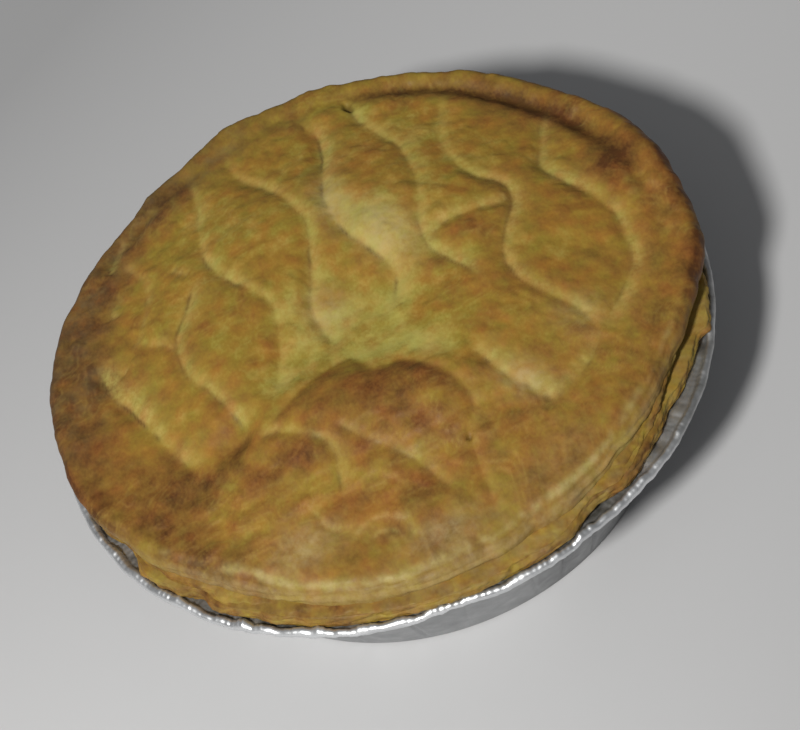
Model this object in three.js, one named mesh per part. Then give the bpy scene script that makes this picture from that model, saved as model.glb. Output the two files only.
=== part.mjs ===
// Individual steak pie with a puff-pastry lid, baked and served in its own
// crimped foil tray.
//
// Millimetres, +Z up. The origin is the centre of the tray's flat base, on the
// surface that the pie stands on. -Y is the front of the pie, where the lid has
// blistered up; the wavy scores of the lid run front to back, along Y.
//
// Three solids:
//   foil_tray    thin pressed tray: flat base, sloping wall with soft folds,
//                pleated flange and a rolled bead
//   crust_base   lower crust with its filling, solid, out to the layer of
//                pastry that spreads over the flange
//   pastry_lid   puffed lid: raised edge, scored ogee lattice, front blister,
//                sunken middle

import * as THREE from 'three';

const TAU = Math.PI * 2;
const rad = (deg) => (deg * Math.PI) / 180;
const clamp = (v, lo, hi) => Math.min(hi, Math.max(lo, v));
// degrees from a bearing, -180 to 180
const off = (phi, at) => ((((phi * 180) / Math.PI - at) % 360) + 540) % 360 - 180;
const near = (phi, at, wide) => Math.exp(-((off(phi, at) / wide) ** 2));
const smooth = (a, b, v) => {
  const t = clamp((v - a) / (b - a), 0, 1);
  return t * t * (3 - 2 * t);
};

// ------------------------------------------------------------- tray sizes
const TRAY_R = 62.5; // outside radius of the rolled bead
const TRAY_H = 26.0; // height of the flange's upper face
const TRAY_BASE_R = 46.8; // radius of the flat base
const TRAY_MOUTH_R = 57.4; // outside radius of the wall just under the flange
const TRAY_SKIN = 0.5; // wall thickness
const TRAY_CORNER = 1.2; // height of the turned corner at the base
const BEAD_R = 0.85; // radius of the rolled bead's section
const RIM_DENTS = [
  // where the rim has been pushed in: bearing (deg), wide (deg), deep;
  // a negative depth is a stretch that has been pulled out
  { at: -48, wide: 15, deep: -0.65 },
  { at: -68, wide: 8, deep: 0.5 },
  { at: -94, wide: 7, deep: 0.8 },
];
const PLEATS = 48; // pleats round the flange
const PLEAT_H = 0.16; // half height of a pleat
const FOLD_D = 0.14; // half depth of a soft fold in the wall

// ------------------------------------------------------------ crust sizes
const GAP = 0.35; // clearance kept between touching solids
const CRUST_FOOT = TRAY_SKIN + GAP; // underside of the crust in the tray
const CRUST_RIM_Z = TRAY_H + 3.1; // top of the layer that lies on the flange
const CRUST_RIM_R = 60.3; // its usual radius
const CRUST_SPREAD = 0.9; // it has spread further along the front and front left
const CRUST_NOTCHES = [
  // drawn in from the bead: bearing (deg), wide (deg), deep
  { at: -45, wide: 9, deep: 1.1 },
  { at: -67, wide: 3.5, deep: 1.3 },
  { at: -112, wide: 3, deep: 0.5 },
  { at: -141, wide: 2.6, deep: 1.1 },
  { at: -160.5, wide: 4.5, deep: 2.6 },
];
const CRUST_TONGUE = { from: -28.5, to: -10, r: 60.8, out: 1.0 }; // runs out past the lid
const CRUST_STEPS = 90; // sides of the crust

// -------------------------------------------------------------- lid sizes
const LID_FOOT = CRUST_RIM_Z + GAP; // underside of the lid
const LID_R = 60.8; // mean radius of the lid's edge
const LID_R_MAX = 62.4; // it never stands out past the tray's bead
const LID_WOBBLE = [
  // uneven outline: order, swing (mm), direction (deg)
  [1, 1.13, 64],
  [2, 0.92, 23],
  [3, 0.57, 36],
  [4, 0.96, 5],
  [5, 0.36, 45],
  [7, 0.43, -22],
];
const LID_TRIMS = [
  // flats on the outline: bearing (deg), wide (deg), deep; negative stands out
  { at: 28, wide: 8, deep: 0.9 },
  { at: -158, wide: 6, deep: 0.9 },
  { at: -171, wide: 7, deep: -0.7 },
];
const EDGE_Z = 36.8; // mean height of the raised edge
const EDGE_TILT_Y = 2.9; // the back has risen more than the front
const EDGE_TILT_X = 0.5;
const EDGE_ROLL = { w: 2.0, h: 2.0 }; // width and height of the rounding at the edge
const EDGE_ROLL_RIGHT = { w: 1.0, h: 1.1 }; // more of it at the right
const EDGE_ROLL_FRONT = { w: 2.2, h: 1.5 }; // and much more along the front
const FRONT_IN = 1.7; // how far the top edge stands back along the front
const GROOVE_R = 55.8; // pressed groove just inside the raised edge
const GROOVE_IN_W = 2.5;
const GROOVE_OUT_W = 1.7;
const GROOVE_DEEP = { all: 0.06, back: 0.4, backRight: 1.25 };
const CROWN_H = 5.9; // how far the middle has domed above the edge

// Local swells and sinks of the lid: x, y, reach along, reach across behind and
// in front, turn (deg), height, hardness of the shoulder. Together they are the
// way this pie has baked.
const SWELLS = [
  { x: 1, y: -3, a: 14, behind: 14, front: 12, turn: 0, h: -2.5, hard: 1.0 }, // sunken middle
  { x: -17, y: -8.5, a: 10, behind: 7, front: 5, turn: 30, h: -1.4, hard: 1.0 }, // trough to its left
  { x: 4.2, y: -26.5, a: 10, behind: 8, front: 8.5, turn: -14, h: 1.8, hard: 1.1 }, // front blister, right
  { x: -9.5, y: -19.5, a: 8, behind: 6.5, front: 10, turn: 10, h: 1.1, hard: 1.1 }, // front blister, left
  { x: -31, y: -17, a: 5, behind: 3.6, front: 3.4, turn: 20, h: -1.9, hard: 1.0 }, // pocket
  { x: 9, y: 14, a: 7, behind: 7, front: 7, turn: 60, h: 1.1, hard: 1.0 },
  { x: 42, y: 3, a: 7, behind: 12, front: 12, turn: 0, h: 0.9, hard: 1.0 },
  { x: 38, y: -20, a: 8, behind: 6, front: 6, turn: -30, h: 0.6, hard: 1.0 },
  { x: 58, y: 7, a: 8.5, behind: 14, front: 13, turn: 0, h: 3.4, hard: 1.0 }, // raised right end
];

// Scored lines, each a wave that runs along Y:
// x = at + lean * y + swing * cos(TAU * (y - crest) / pitch).
// Neighbours are out of step, so the cells between them are ogee leaves.
const SCORES = [
  { at: -56.0, lean: -0.1, swing: 2.2, crest: -10.0, pitch: 42.0 },
  { at: -46.2, lean: -0.2, swing: -1.6, crest: 8.5, pitch: 41.7 },
  { at: -31.5, lean: 0.087, swing: 4.0, crest: -13.7, pitch: 41.5 },
  { at: -18.4, lean: -0.095, swing: 3.6, crest: 5.5, pitch: 44.3 },
  { at: -4.6, lean: -0.072, swing: 3.34, crest: -21.7, pitch: 46.8 },
  { at: 4.6, lean: -0.037, swing: -2.98, crest: -16.4, pitch: 41.5 },
  { at: 18.9, lean: -0.059, swing: 2.89, crest: -14.0, pitch: 43.7 },
  { at: 31.1, lean: -0.085, swing: 3.29, crest: 12.3, pitch: 36.6 },
  { at: 45.8, lean: 0.025, swing: 4.72, crest: -3.7, pitch: 45.3 },
];
const SCORE_DEPTH = 0.8;
const SCORE_STEEP_W = 1.0; // left bank of a score
const SCORE_EASY_W = 2.6; // right bank of a score
const LEAF_RISE = 0.55; // pillow of a cell
const LID_GRID = 44; // cells across the lid's upper skin
const FLAKE_STEP = 0.35; // how far the baked layers stand in and out

// -------------------------------------------------------- height of the lid
function bell(x, y, s) {
  const c = Math.cos(rad(s.turn));
  const n = Math.sin(rad(s.turn));
  const u = (x - s.x) * c + (y - s.y) * n;
  const v = -(x - s.x) * n + (y - s.y) * c;
  const b = v > 0 ? s.behind : s.front;
  return s.h * Math.exp(-(((u / s.a) ** 2 + (v / b) ** 2) ** s.hard));
}

function lidRadius(phi) {
  let r = LID_R;
  for (const [order, swing, dir] of LID_WOBBLE) {
    r += swing * Math.cos(order * phi - rad(dir));
  }
  r = Math.min(r, LID_R_MAX);
  for (const t of LID_TRIMS) r -= t.deep * near(phi, t.at, t.wide);
  return r;
}

// 1 along the front, where the layered side shows
const frontSide = (phi) => smooth(75, 35, Math.abs(off(phi, -95)));

function rimShape(phi) {
  const f = frontSide(phi);
  const right = smooth(42, 12, Math.abs(off(phi, -4)));
  return {
    R: lidRadius(phi) - FRONT_IN * f,
    w: EDGE_ROLL.w + EDGE_ROLL_RIGHT.w * right + EDGE_ROLL_FRONT.w * f,
    h: EDGE_ROLL.h + EDGE_ROLL_RIGHT.h * right + EDGE_ROLL_FRONT.h * f,
  };
}

function scoreX(s, y) {
  return s.at + s.lean * y + s.swing * Math.cos((TAU * (y - s.crest)) / s.pitch);
}

function scoreOffset(x, y) {
  let best = 1e9;
  for (const s of SCORES) {
    const slope =
      s.lean - ((s.swing * TAU) / s.pitch) * Math.sin((TAU * (y - s.crest)) / s.pitch);
    const d = (x - scoreX(s, y)) / Math.hypot(1, slope);
    if (Math.abs(d) < Math.abs(best)) best = d;
  }
  return best;
}

function lidHeight(x, y) {
  const r = Math.hypot(x, y);
  const phi = Math.atan2(y, x);
  const lean = Math.min(1, 56 / Math.max(r, 1e-6)) / 56;
  let z = EDGE_Z + (EDGE_TILT_Y * y + EDGE_TILT_X * x) * lean;
  z += CROWN_H * (1 - smooth(0.4, 1.0, Math.min(r / 55, 1)));
  const deep =
    GROOVE_DEEP.all +
    GROOVE_DEEP.back * smooth(80, 45, Math.abs(off(phi, 88))) +
    GROOVE_DEEP.backRight * smooth(48, 22, Math.abs(off(phi, 32)));
  const g = r - GROOVE_R;
  z -= deep * Math.exp(-((g / (g < 0 ? GROOVE_IN_W : GROOVE_OUT_W)) ** 2));
  for (const s of SWELLS) z += bell(x, y, s);
  const d = scoreOffset(x, y);
  const a = Math.abs(d);
  const bank = d > 0 ? SCORE_EASY_W : SCORE_STEEP_W;
  const cut = -SCORE_DEPTH * Math.exp(-((a / bank) ** 1.5));
  const pillow = LEAF_RISE * (1 - Math.exp(-((a / 4.5) ** 2)));
  z += (cut + pillow) * (1 - smooth(49, 55, r));
  const rim = rimShape(phi);
  const e = clamp((r - (rim.R - rim.w)) / rim.w, 0, 1);
  z -= rim.h * (1 - Math.sqrt(Math.max(0, 1 - e * e)));
  return z;
}

// --------------------------------------------------------------- mesh tools
function solid(name, points, faces, material) {
  const g = new THREE.BufferGeometry();
  g.setAttribute('position', new THREE.Float32BufferAttribute(points.flat(), 3));
  g.setIndex(faces.flat());
  g.computeVertexNormals();
  const m = new THREE.Mesh(g, material);
  m.name = name;
  return m;
}

// A closed solid swept round Z. section(phi, k) gives [r, z] points from the
// axis below, round the outside, back to the axis above.
function sweepRound(steps, section) {
  const rows = [];
  for (let k = 0; k < steps; k += 1) rows.push(section((TAU * k) / steps, k));
  const n = rows[0].length;
  const points = [
    [0, 0, rows[0][0][1]],
    [0, 0, rows[0][n - 1][1]],
  ];
  rows.forEach((row, k) => {
    const phi = (TAU * k) / steps;
    for (let j = 1; j < n - 1; j += 1) {
      points.push([row[j][0] * Math.cos(phi), row[j][0] * Math.sin(phi), row[j][1]]);
    }
  });
  const at = (k, j) => {
    if (j === 0) return 0;
    if (j === n - 1) return 1;
    return 2 + (k % steps) * (n - 2) + (j - 1);
  };
  const faces = [];
  for (let k = 0; k < steps; k += 1) {
    for (let j = 0; j < n - 1; j += 1) {
      const a = at(k, j);
      const b = at(k + 1, j);
      const c = at(k + 1, j + 1);
      const d = at(k, j + 1);
      if (a !== b) faces.push([a, b, c]);
      if (c !== d) faces.push([a, c, d]);
    }
  }
  return { points, faces };
}

// ---------------------------------------------------------------- foil tray
function rimDent(phi) {
  return -RIM_DENTS.reduce((sum, d) => sum + d.deep * near(phi, d.at, d.wide), 0);
}

function traySection(phi, k) {
  const up = k % 2 ? PLEAT_H : -PLEAT_H;
  const soft = FOLD_D * Math.sin(phi * 31 + Math.sin(phi * 3) * 2);
  const dent = rimDent(phi);
  const wallR = (z) =>
    TRAY_BASE_R + ((TRAY_MOUTH_R - TRAY_BASE_R) * (z - TRAY_CORNER)) / (TRAY_H - 1 - TRAY_CORNER);
  const midZ = TRAY_H * 0.55;
  return [
    [0, 0],
    [TRAY_BASE_R - TRAY_CORNER, 0],
    [TRAY_BASE_R, TRAY_CORNER],
    [wallR(midZ) + soft, midZ],
    [TRAY_MOUTH_R, TRAY_H - 1],
    [TRAY_MOUTH_R + 0.9, TRAY_H - TRAY_SKIN + up * 0.5],
    [TRAY_R + dent - BEAD_R * 1.9, TRAY_H - TRAY_SKIN + up],
    [TRAY_R + dent - BEAD_R, TRAY_H - BEAD_R - 0.1],
    [TRAY_R + dent, TRAY_H],
    [TRAY_R + dent - BEAD_R, TRAY_H + BEAD_R - 0.1],
    [TRAY_R + dent - BEAD_R * 2.1, TRAY_H + up],
    [TRAY_MOUTH_R + 0.3, TRAY_H + up * 0.5],
    [TRAY_MOUTH_R - TRAY_SKIN, TRAY_H - 1],
    [wallR(midZ) - TRAY_SKIN + soft, midZ],
    [TRAY_BASE_R - TRAY_SKIN, TRAY_CORNER],
    [TRAY_BASE_R - TRAY_CORNER - 0.2, TRAY_SKIN],
    [0, TRAY_SKIN],
  ];
}

// --------------------------------------------------- lower crust and filling
function crustRimRadius(phi) {
  const o = off(phi, 0);
  let r = CRUST_RIM_R + CRUST_SPREAD * smooth(-69, -79, o) * smooth(-179, -170, o);
  for (const c of CRUST_NOTCHES) r -= c.deep * near(phi, c.at, c.wide);
  const t = CRUST_TONGUE;
  const k = smooth(t.from - 1, t.from + 1, o) * smooth(t.to + 4, t.to - 4, o);
  return r * (1 - k) + (t.r + t.out * smooth(-12, -27, o)) * k;
}

function crustSection(phi, k) {
  const r = crustRimRadius(phi);
  const wall = (z) =>
    TRAY_BASE_R +
    ((TRAY_MOUTH_R - TRAY_BASE_R) * (z - TRAY_CORNER)) / (TRAY_H - 1 - TRAY_CORNER) -
    TRAY_SKIN -
    FOLD_D -
    GAP -
    0.1;
  const layer = (CRUST_RIM_Z - TRAY_H) / 3;
  const rag = FLAKE_STEP * (k % 3 === 0 ? 1 : 0.3);
  const over = TRAY_H + PLEAT_H + GAP;
  return [
    [0, CRUST_FOOT],
    [wall(2) - 1.0, CRUST_FOOT],
    [wall(2.4), CRUST_FOOT + 1.4],
    [wall(TRAY_H - 1), TRAY_H - 1],
    [TRAY_MOUTH_R - 0.2, over],
    [Math.min(r, TRAY_R + rimDent(phi) - 2.2 * BEAD_R) - 0.2, over + 0.02],
    [r - rag, TRAY_H + BEAD_R + GAP],
    [r, TRAY_H + layer * 1.8],
    [r - 0.5 - rag, TRAY_H + layer * 2.3],
    [r - 0.6, CRUST_RIM_Z],
    [0, CRUST_RIM_Z],
  ];
}

// --------------------------------------------------------------- pastry lid
function pastryLid() {
  const n = LID_GRID;
  const points = [];
  const faces = [];
  const at = (i, j) => j * (n + 1) + i;
  for (let j = 0; j <= n; j += 1) {
    for (let i = 0; i <= n; i += 1) {
      const u = -1 + (2 * i) / n;
      const v = -1 + (2 * j) / n;
      let x = u * Math.sqrt(1 - (v * v) / 2);
      let y = v * Math.sqrt(1 - (u * u) / 2);
      const phi = Math.atan2(y, x);
      // the outermost ring of cells takes the rounding of the edge
      const { R, w } = rimShape(phi);
      const rho = Math.hypot(x, y);
      const last = 1 - 2 / n;
      const reachR = R - 0.45 * w;
      const rr = rho <= last ? (rho / last) * reachR : reachR + ((rho - last) / (1 - last)) * (R - reachR);
      if (rho > 0) {
        x *= rr / rho;
        y *= rr / rho;
      }
      // bring the nearest grid line on to each score, so that it stays crisp
      const r = Math.hypot(x, y);
      if (r < 50) {
        let shift = 1e9;
        for (const s of SCORES) {
          const d = scoreX(s, y) - x;
          if (Math.abs(d) < Math.abs(shift)) shift = d;
        }
        const reach = (0.5 * 2 * LID_R) / n;
        if (Math.abs(shift) < reach) x += shift * (1 - smooth(46, 50, r));
      }
      points.push([x, y, lidHeight(x, y)]);
    }
  }
  for (let j = 0; j < n; j += 1) {
    for (let i = 0; i < n; i += 1) {
      const a = at(i, j);
      const b = at(i + 1, j);
      const c = at(i + 1, j + 1);
      const d = at(i, j + 1);
      // the diagonal that follows the fall of the surface
      const flip = Math.abs(points[a][2] - points[c][2]) > Math.abs(points[b][2] - points[d][2]);
      const corner = (i === 0 || i === n - 1) && (j === 0 || j === n - 1);
      const useBD = corner ? (i === 0) !== (j === 0) : flip;
      if (useBD) faces.push([a, b, d], [b, c, d]);
      else faces.push([a, b, c], [a, c, d]);
    }
  }
  // the edge, round once, counter-clockwise from above
  const rim = [];
  for (let i = 0; i < n; i += 1) rim.push(at(i, 0));
  for (let j = 0; j < n; j += 1) rim.push(at(n, j));
  for (let i = n; i > 0; i -= 1) rim.push(at(i, n));
  for (let j = n; j > 0; j -= 1) rim.push(at(0, j));
  // baked layers down the side, each standing a little in or out
  const levels = [
    { t: 0.34, out: -1.0 },
    { t: 0.67, out: 0.6 },
    { t: 1.0, out: -0.8 },
  ];
  let prev = rim;
  for (const level of levels) {
    const next = rim.map((top, k) => {
      const [x, y, z] = points[top];
      const phi = Math.atan2(y, x);
      const rag = 0.5 + 0.5 * Math.sin(k * 2.4 + level.t * 9);
      // the side leans in to the crust's edge, less so along the front
      const r0 = Math.hypot(x, y);
      const under = smooth(26, 14, Math.abs(off(phi, -24)));
      const crust = crustRimRadius(phi);
      const tuck = Math.min(lidRadius(phi) - 1.5 - 0.7 * under, crust + 0.2);
      const foot = tuck + (crust - 0.9 - tuck) * frontSide(phi) * (1 - under);
      const r = Math.min(
        r0 + (foot - r0) * level.t ** 1.15 + 0.35 * Math.sin(Math.PI * level.t) + FLAKE_STEP * level.out * (0.6 + rag),
        TRAY_R - 0.05,
      );
      points.push([r * Math.cos(phi), r * Math.sin(phi), z + (LID_FOOT - z) * level.t]);
      return points.length - 1;
    });
    for (let k = 0; k < rim.length; k += 1) {
      const m = (k + 1) % rim.length;
      faces.push([prev[k], next[k], next[m]], [prev[k], next[m], prev[m]]);
    }
    prev = next;
  }
  points.push([0, 0, LID_FOOT]);
  const hub = points.length - 1;
  for (let k = 0; k < rim.length; k += 1) {
    faces.push([prev[k], hub, prev[(k + 1) % rim.length]]);
  }
  return { points, faces };
}

// ----------------------------------------------------------------- assembly
const foil = new THREE.MeshStandardMaterial({ color: 0xb9bcc0, roughness: 0.28, metalness: 1.0 });
const baked = new THREE.MeshStandardMaterial({ color: 0xb9832f, roughness: 0.62, metalness: 0.0 });
const glazed = new THREE.MeshStandardMaterial({ color: 0xc48b33, roughness: 0.5, metalness: 0.0 });

const pie = new THREE.Group();
pie.name = 'steak_pie';

const tray = sweepRound(PLEATS * 2, traySection);
pie.add(solid('foil_tray', tray.points, tray.faces, foil));

const crust = sweepRound(CRUST_STEPS, crustSection);
pie.add(solid('crust_base', crust.points, crust.faces, baked));

const lid = pastryLid();
pie.add(solid('pastry_lid', lid.points, lid.faces, glazed));

export default pie;
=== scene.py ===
"""Looks of the individual steak pie: a puffed, wavy-scored lid of puff pastry on
its lower crust, baked in a crimped foil tray. Lengths in the shape functions are
millimetres in the part's own frame; objects are made in metres."""

import math

import bpy
import numpy as np
from mathutils import Matrix, Vector


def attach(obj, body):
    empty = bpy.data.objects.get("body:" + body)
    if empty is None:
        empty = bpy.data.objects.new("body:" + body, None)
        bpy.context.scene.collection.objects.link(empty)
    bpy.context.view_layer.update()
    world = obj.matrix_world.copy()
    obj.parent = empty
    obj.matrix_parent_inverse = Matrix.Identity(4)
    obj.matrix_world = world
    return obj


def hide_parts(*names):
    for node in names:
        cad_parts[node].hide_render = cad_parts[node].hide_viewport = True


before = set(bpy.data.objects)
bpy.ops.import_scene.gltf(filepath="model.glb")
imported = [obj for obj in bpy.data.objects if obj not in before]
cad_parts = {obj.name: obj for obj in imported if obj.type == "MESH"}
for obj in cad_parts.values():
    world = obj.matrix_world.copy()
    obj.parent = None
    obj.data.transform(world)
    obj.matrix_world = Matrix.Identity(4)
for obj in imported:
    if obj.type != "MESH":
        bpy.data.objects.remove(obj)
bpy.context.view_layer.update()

MM = 0.001
TAU = 2.0 * np.pi

# ------------------------------------------------------------------ named sizes
TRAY_R = 62.5
TRAY_H = 26.0
TRAY_BASE_R = 46.8
TRAY_MOUTH_R = 57.4
TRAY_CORNER = 1.2
FOIL_BEAD_R = 0.88
LID_R = 60.8
LID_R_MAX = 62.6
LID_WOBBLE = [(1, 1.13, 64.0), (2, 0.92, 23.0), (3, 0.57, 36.0), (4, 0.96, 5.0), (5, 0.36, 45.0), (7, 0.43, -22.0)]
EDGE_Z = 36.8
EDGE_TILT_Y = 2.9
EDGE_TILT_X = 0.5
GROOVE_R = 55.8
CROWN_H = 5.9
CRUST_RIM_Z = TRAY_H + 3.1

# x, y, reach along, reach across (behind, in front), turn, height, hardness
SWELLS = [
    (1.0, -3.0, 14.0, (14.0, 12.0), 0.0, -2.5, 1.0),  # sunken middle
    (-17.0, -8.5, 10.0, (7.0, 5.0), 30.0, -1.4, 1.0),  # valley running out to the left
    (4.2, -26.5, 10.0, (8.0, 8.5), -14.0, 1.8, 1.1),  # front blister, right half
    (-9.5, -19.5, 8.0, (6.5, 10.0), 10.0, 1.1, 1.1),  # front blister, left half
    (-31.0, -17.0, 5.0, (3.6, 3.4), 20.0, -1.9, 1.0),  # pocket left of the blister
    (9.0, 14.0, 7.0, (7.0, 7.0), 60.0, 1.1, 1.0),
    (42.0, 3.0, 7.0, (12.0, 12.0), 0.0, 0.9, 1.0),
    (38.0, -20.0, 8.0, (6.0, 6.0), -30.0, 0.6, 1.0),
    (58.0, 7.0, 8.5, (14.0, 13.0), 0.0, 3.4, 1.0),  # the rim's raised right end
]

# every cut and fold of the lid, from the back to the front: depth, width of its
# sloping lip, rise of the left-hand and right-hand bank (facing along the line),
# paleness, points passed
MARKS = [
    (0.59, 2.4, 0.29, 0.00, 0.90, [(-49.3, 16.4), (-48.8, 9.1), (-45.9, 0.8), (-43.0, -6.7), (-40.9, -13.5), (-37.6, -18.9)]),
    (0.42, 1.6, 0.16, 0.00, 0.72, [(-25.9, 22.2), (-30.7, 15.4), (-34.3, 9.6), (-34.7, 4.4), (-33.2, -0.8), (-30.4, -7.1), (-28.2, -12.6), (-27.4, -17.0)]),
    (0.42, 1.5, 0.13, 0.08, 0.81, [(-20.8, 51.1), (-21.6, 40.2), (-23.4, 29.3), (-23.4, 23.8), (-21.1, 17.7), (-17.3, 12.0), (-15.3, 7.2), (-15.0, 2.6), (-16.1, -2.4), (-18.1, -7.8), (-21.5, -14.0)]),
    (0.45, 1.5, 0.13, 0.08, 0.72, [(-13.2, 53.4), (-12.0, 45.6), (-9.0, 39.4), (-5.5, 32.3), (-3.6, 25.2), (-3.7, 20.1), (-4.9, 15.3), (-6.2, 9.6), (-7.9, 5.1), (-8.2, 2.0), (-7.9, -1.5), (-7.2, -4.7), (-6.3, -7.7)]),
    (0.56, 1.9, 0.21, 0.00, 0.90, [(2.2, 54.7), (4.6, 48.8), (4.9, 43.2), (3.3, 34.8), (1.4, 27.1), (1.4, 21.6), (2.9, 14.9), (5.8, 9.5), (7.9, 5.8), (8.1, 2.5), (6.8, -0.6), (5.6, -4.6)]),
    (0.32, 1.4, 0.10, 0.08, 0.72, [(13.0, 54.1), (13.9, 46.2), (16.3, 39.5), (18.5, 34.0), (19.1, 27.2), (18.5, 20.7), (16.9, 14.2), (15.5, 9.0), (15.6, 4.5), (18.1, -0.4), (20.2, -4.4), (21.1, -8.8)]),
    (0.32, 1.5, 0.13, 0.08, 0.63, [(30.3, 46.0), (27.8, 38.7), (26.1, 31.9), (26.7, 23.6), (28.6, 18.5), (31.3, 14.7), (32.9, 11.5), (32.5, 7.5), (30.2, 2.7), (28.4, -0.8), (27.3, -5.4), (27.6, -10.2), (29.8, -14.3), (32.8, -17.9), (35.0, -21.7), (36.3, -27.5)]),
    (0.39, 1.6, 0.13, 0.08, 0.72, [(46.2, 29.2), (42.9, 21.7), (40.9, 15.0), (42.3, 10.2), (45.2, 5.5), (47.6, 0.8), (48.9, -3.9), (48.6, -9.2), (47.1, -14.3), (43.9, -19.6), (40.6, -23.1), (36.6, -27.0)]),
    (0.34, 1.4, 0.05, 0.24, 0.81, [(15.6, 4.8), (17.6, 7.1), (20.9, 8.5), (25.4, 8.4), (30.0, 7.7), (33.0, 8.4)]),
    (0.28, 1.7, 0.13, 0.00, 0.63, [(24.3, -37.1), (26.9, -35.2), (30.0, -33.8), (33.2, -31.6), (36.4, -27.2)]),
    (0.42, 2.0, 0.24, 0.08, 0.81, [(14.6, -22.0), (17.1, -26.9), (19.4, -30.1), (21.9, -33.9), (24.8, -37.6)]),
    (0.20, 1.4, 0.00, 0.08, 0.22, [(-23.6, -19.9), (-20.5, -17.7), (-17.3, -15.5), (-14.5, -13.9), (-11.9, -12.7), (-9.4, -11.9), (-7.0, -11.5), (-4.9, -12.1), (-3.4, -14.6), (-2.6, -17.6), (-2.4, -20.4)]),
    (0.25, 1.4, 0.06, 0.08, 0.24, [(-2.4, -20.4), (-0.9, -18.7), (0.8, -17.7), (2.6, -18.1), (4.6, -19.9), (6.7, -22.5), (9.2, -25.7), (10.6, -28.7), (11.0, -31.2), (10.4, -33.9), (8.9, -36.7), (7.9, -39.0), (7.6, -42.1), (7.4, -45.6), (7.0, -49.2), (6.2, -52.3)]),
    (0.31, 1.3, 0.05, 0.14, 0.45, [(-26.4, -20.0), (-23.6, -20.4), (-20.6, -22.1), (-17.6, -24.4), (-15.3, -26.9), (-14.5, -29.2), (-14.6, -31.8), (-15.1, -34.3), (-16.0, -37.4)]),
    (0.27, 1.2, 0.09, 0.00, 0.30, [(-12.6, -25.0), (-8.7, -30.0), (-6.1, -32.3), (-3.8, -35.3), (-1.8, -38.4), (0.0, -42.0), (1.6, -45.4)]),
    (0.12, 0.8, 0.08, 0.00, 0.43, [(-22.4, -36.2), (-21.6, -38.6), (-20.6, -41.6), (-18.2, -43.4)]),
    (0.11, 0.7, 0.08, -0.08, 0.49, [(-17.4, -46.4), (-15.4, -45.2), (-12.2, -44.6), (-9.2, -45.4), (-7.6, -47.6), (-7.6, -50.6)]),
    (0.10, 0.6, 0.05, -0.08, 0.38, [(-14.8, -47.4), (-12.4, -46.9), (-10.4, -47.8), (-9.6, -49.6), (-9.5, -51.6)]),
    (0.21, 1.3, 0.10, 0.00, 0.45, [(-38.6, 37.0), (-36.0, 28.0), (-38.5, 20.0), (-42.5, 15.0)]),
    (0.25, 1.1, 0.05, 0.08, 0.54, [(-40.3, 15.5), (-38.5, 13.0), (-36.1, 11.1), (-34.9, 8.1)]),
    (0.21, 1.3, 0.08, 0.00, 0.63, [(-40.5, 29.8), (-42.0, 28.9), (-43.5, 27.4), (-43.9, 24.7)]),
    (0.25, 1.1, 0.05, 0.00, 0.45, [(-48.1, 15.3), (-46.7, 12.3), (-44.9, 10.0)]),
    (0.25, 1.4, 0.08, 0.00, 0.63, [(-36.6, 44.7), (-38.6, 41.9), (-40.8, 38.6), (-41.8, 36.5)]),
    (0.21, 1.2, 0.08, 0.00, 0.54, [(-30.2, 28.4), (-29.0, 25.9), (-27.2, 24.1)]),
]

# pinholes and torn spots: x, y, radius along and across, turn, depth
PITS = [
    (8.0, -37.9, 0.5, 0.4, 20, 0.9),
    (13.3, 51.9, 0.9, 1.6, 10, 1.1),
    (-29.0, -18.6, 2.0, 1.5, 10, 0.35),
]


# ------------------------------------------------------------------- noise tools
def _hash(ix, iy, iz, seed):
    h = (ix * 374761393 + iy * 668265263 + iz * 2246822519 + seed * 974634777) & 0xFFFFFFFF
    h = ((h ^ (h >> 13)) * 1274126177) & 0xFFFFFFFF
    h = h ^ (h >> 16)
    return h / 4294967295.0


def noise3(x, y, z, seed=0):
    """Smooth value noise, -1 to 1."""
    x, y, z = np.broadcast_arrays(np.asarray(x, float), np.asarray(y, float), np.asarray(z, float))
    xi, yi, zi = (np.floor(v).astype(np.int64) for v in (x, y, z))
    fx, fy, fz = x - xi, y - yi, z - zi
    fx, fy, fz = (f * f * f * (f * (f * 6 - 15) + 10) for f in (fx, fy, fz))
    out = 0.0
    for dx in (0, 1):
        wx = fx if dx else 1 - fx
        for dy in (0, 1):
            wy = fy if dy else 1 - fy
            for dz in (0, 1):
                wz = fz if dz else 1 - fz
                out = out + wx * wy * wz * _hash(xi + dx, yi + dy, zi + dz, seed)
    return out * 2 - 1


def fbm(x, y, z=0.0, seed=0, octaves=4, gain=0.5):
    total, amp, norm = 0.0, 1.0, 0.0
    for k in range(octaves):
        f = 2.03**k
        total = total + amp * noise3(x * f + 11.3 * k, y * f - 7.7 * k, z * f + 3.1 * k, seed + 17 * k)
        norm += amp
        amp *= gain
    return total / norm


def cells(x, y, size, seed=0):
    """Distance to the nearest scattered point, and that point's random number."""
    gx, gy = x / size, y / size
    ix, iy = np.floor(gx).astype(np.int64), np.floor(gy).astype(np.int64)
    best = np.full(gx.shape, 9.0)
    who = np.zeros(gx.shape)
    zero = np.zeros_like(ix)
    for dx in (-1, 0, 1):
        for dy in (-1, 0, 1):
            cx, cy = ix + dx, iy + dy
            px = cx + _hash(cx, cy, zero, seed)
            py = cy + _hash(cx, cy, zero + 1, seed)
            d = np.hypot(gx - px, gy - py)
            near = d < best
            best = np.where(near, d, best)
            who = np.where(near, _hash(cx, cy, zero + 2, seed), who)
    return best * size, who


def ss(a, b, t):
    t = np.clip((t - a) / (b - a), 0, 1)
    return t * t * (3 - 2 * t)


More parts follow.
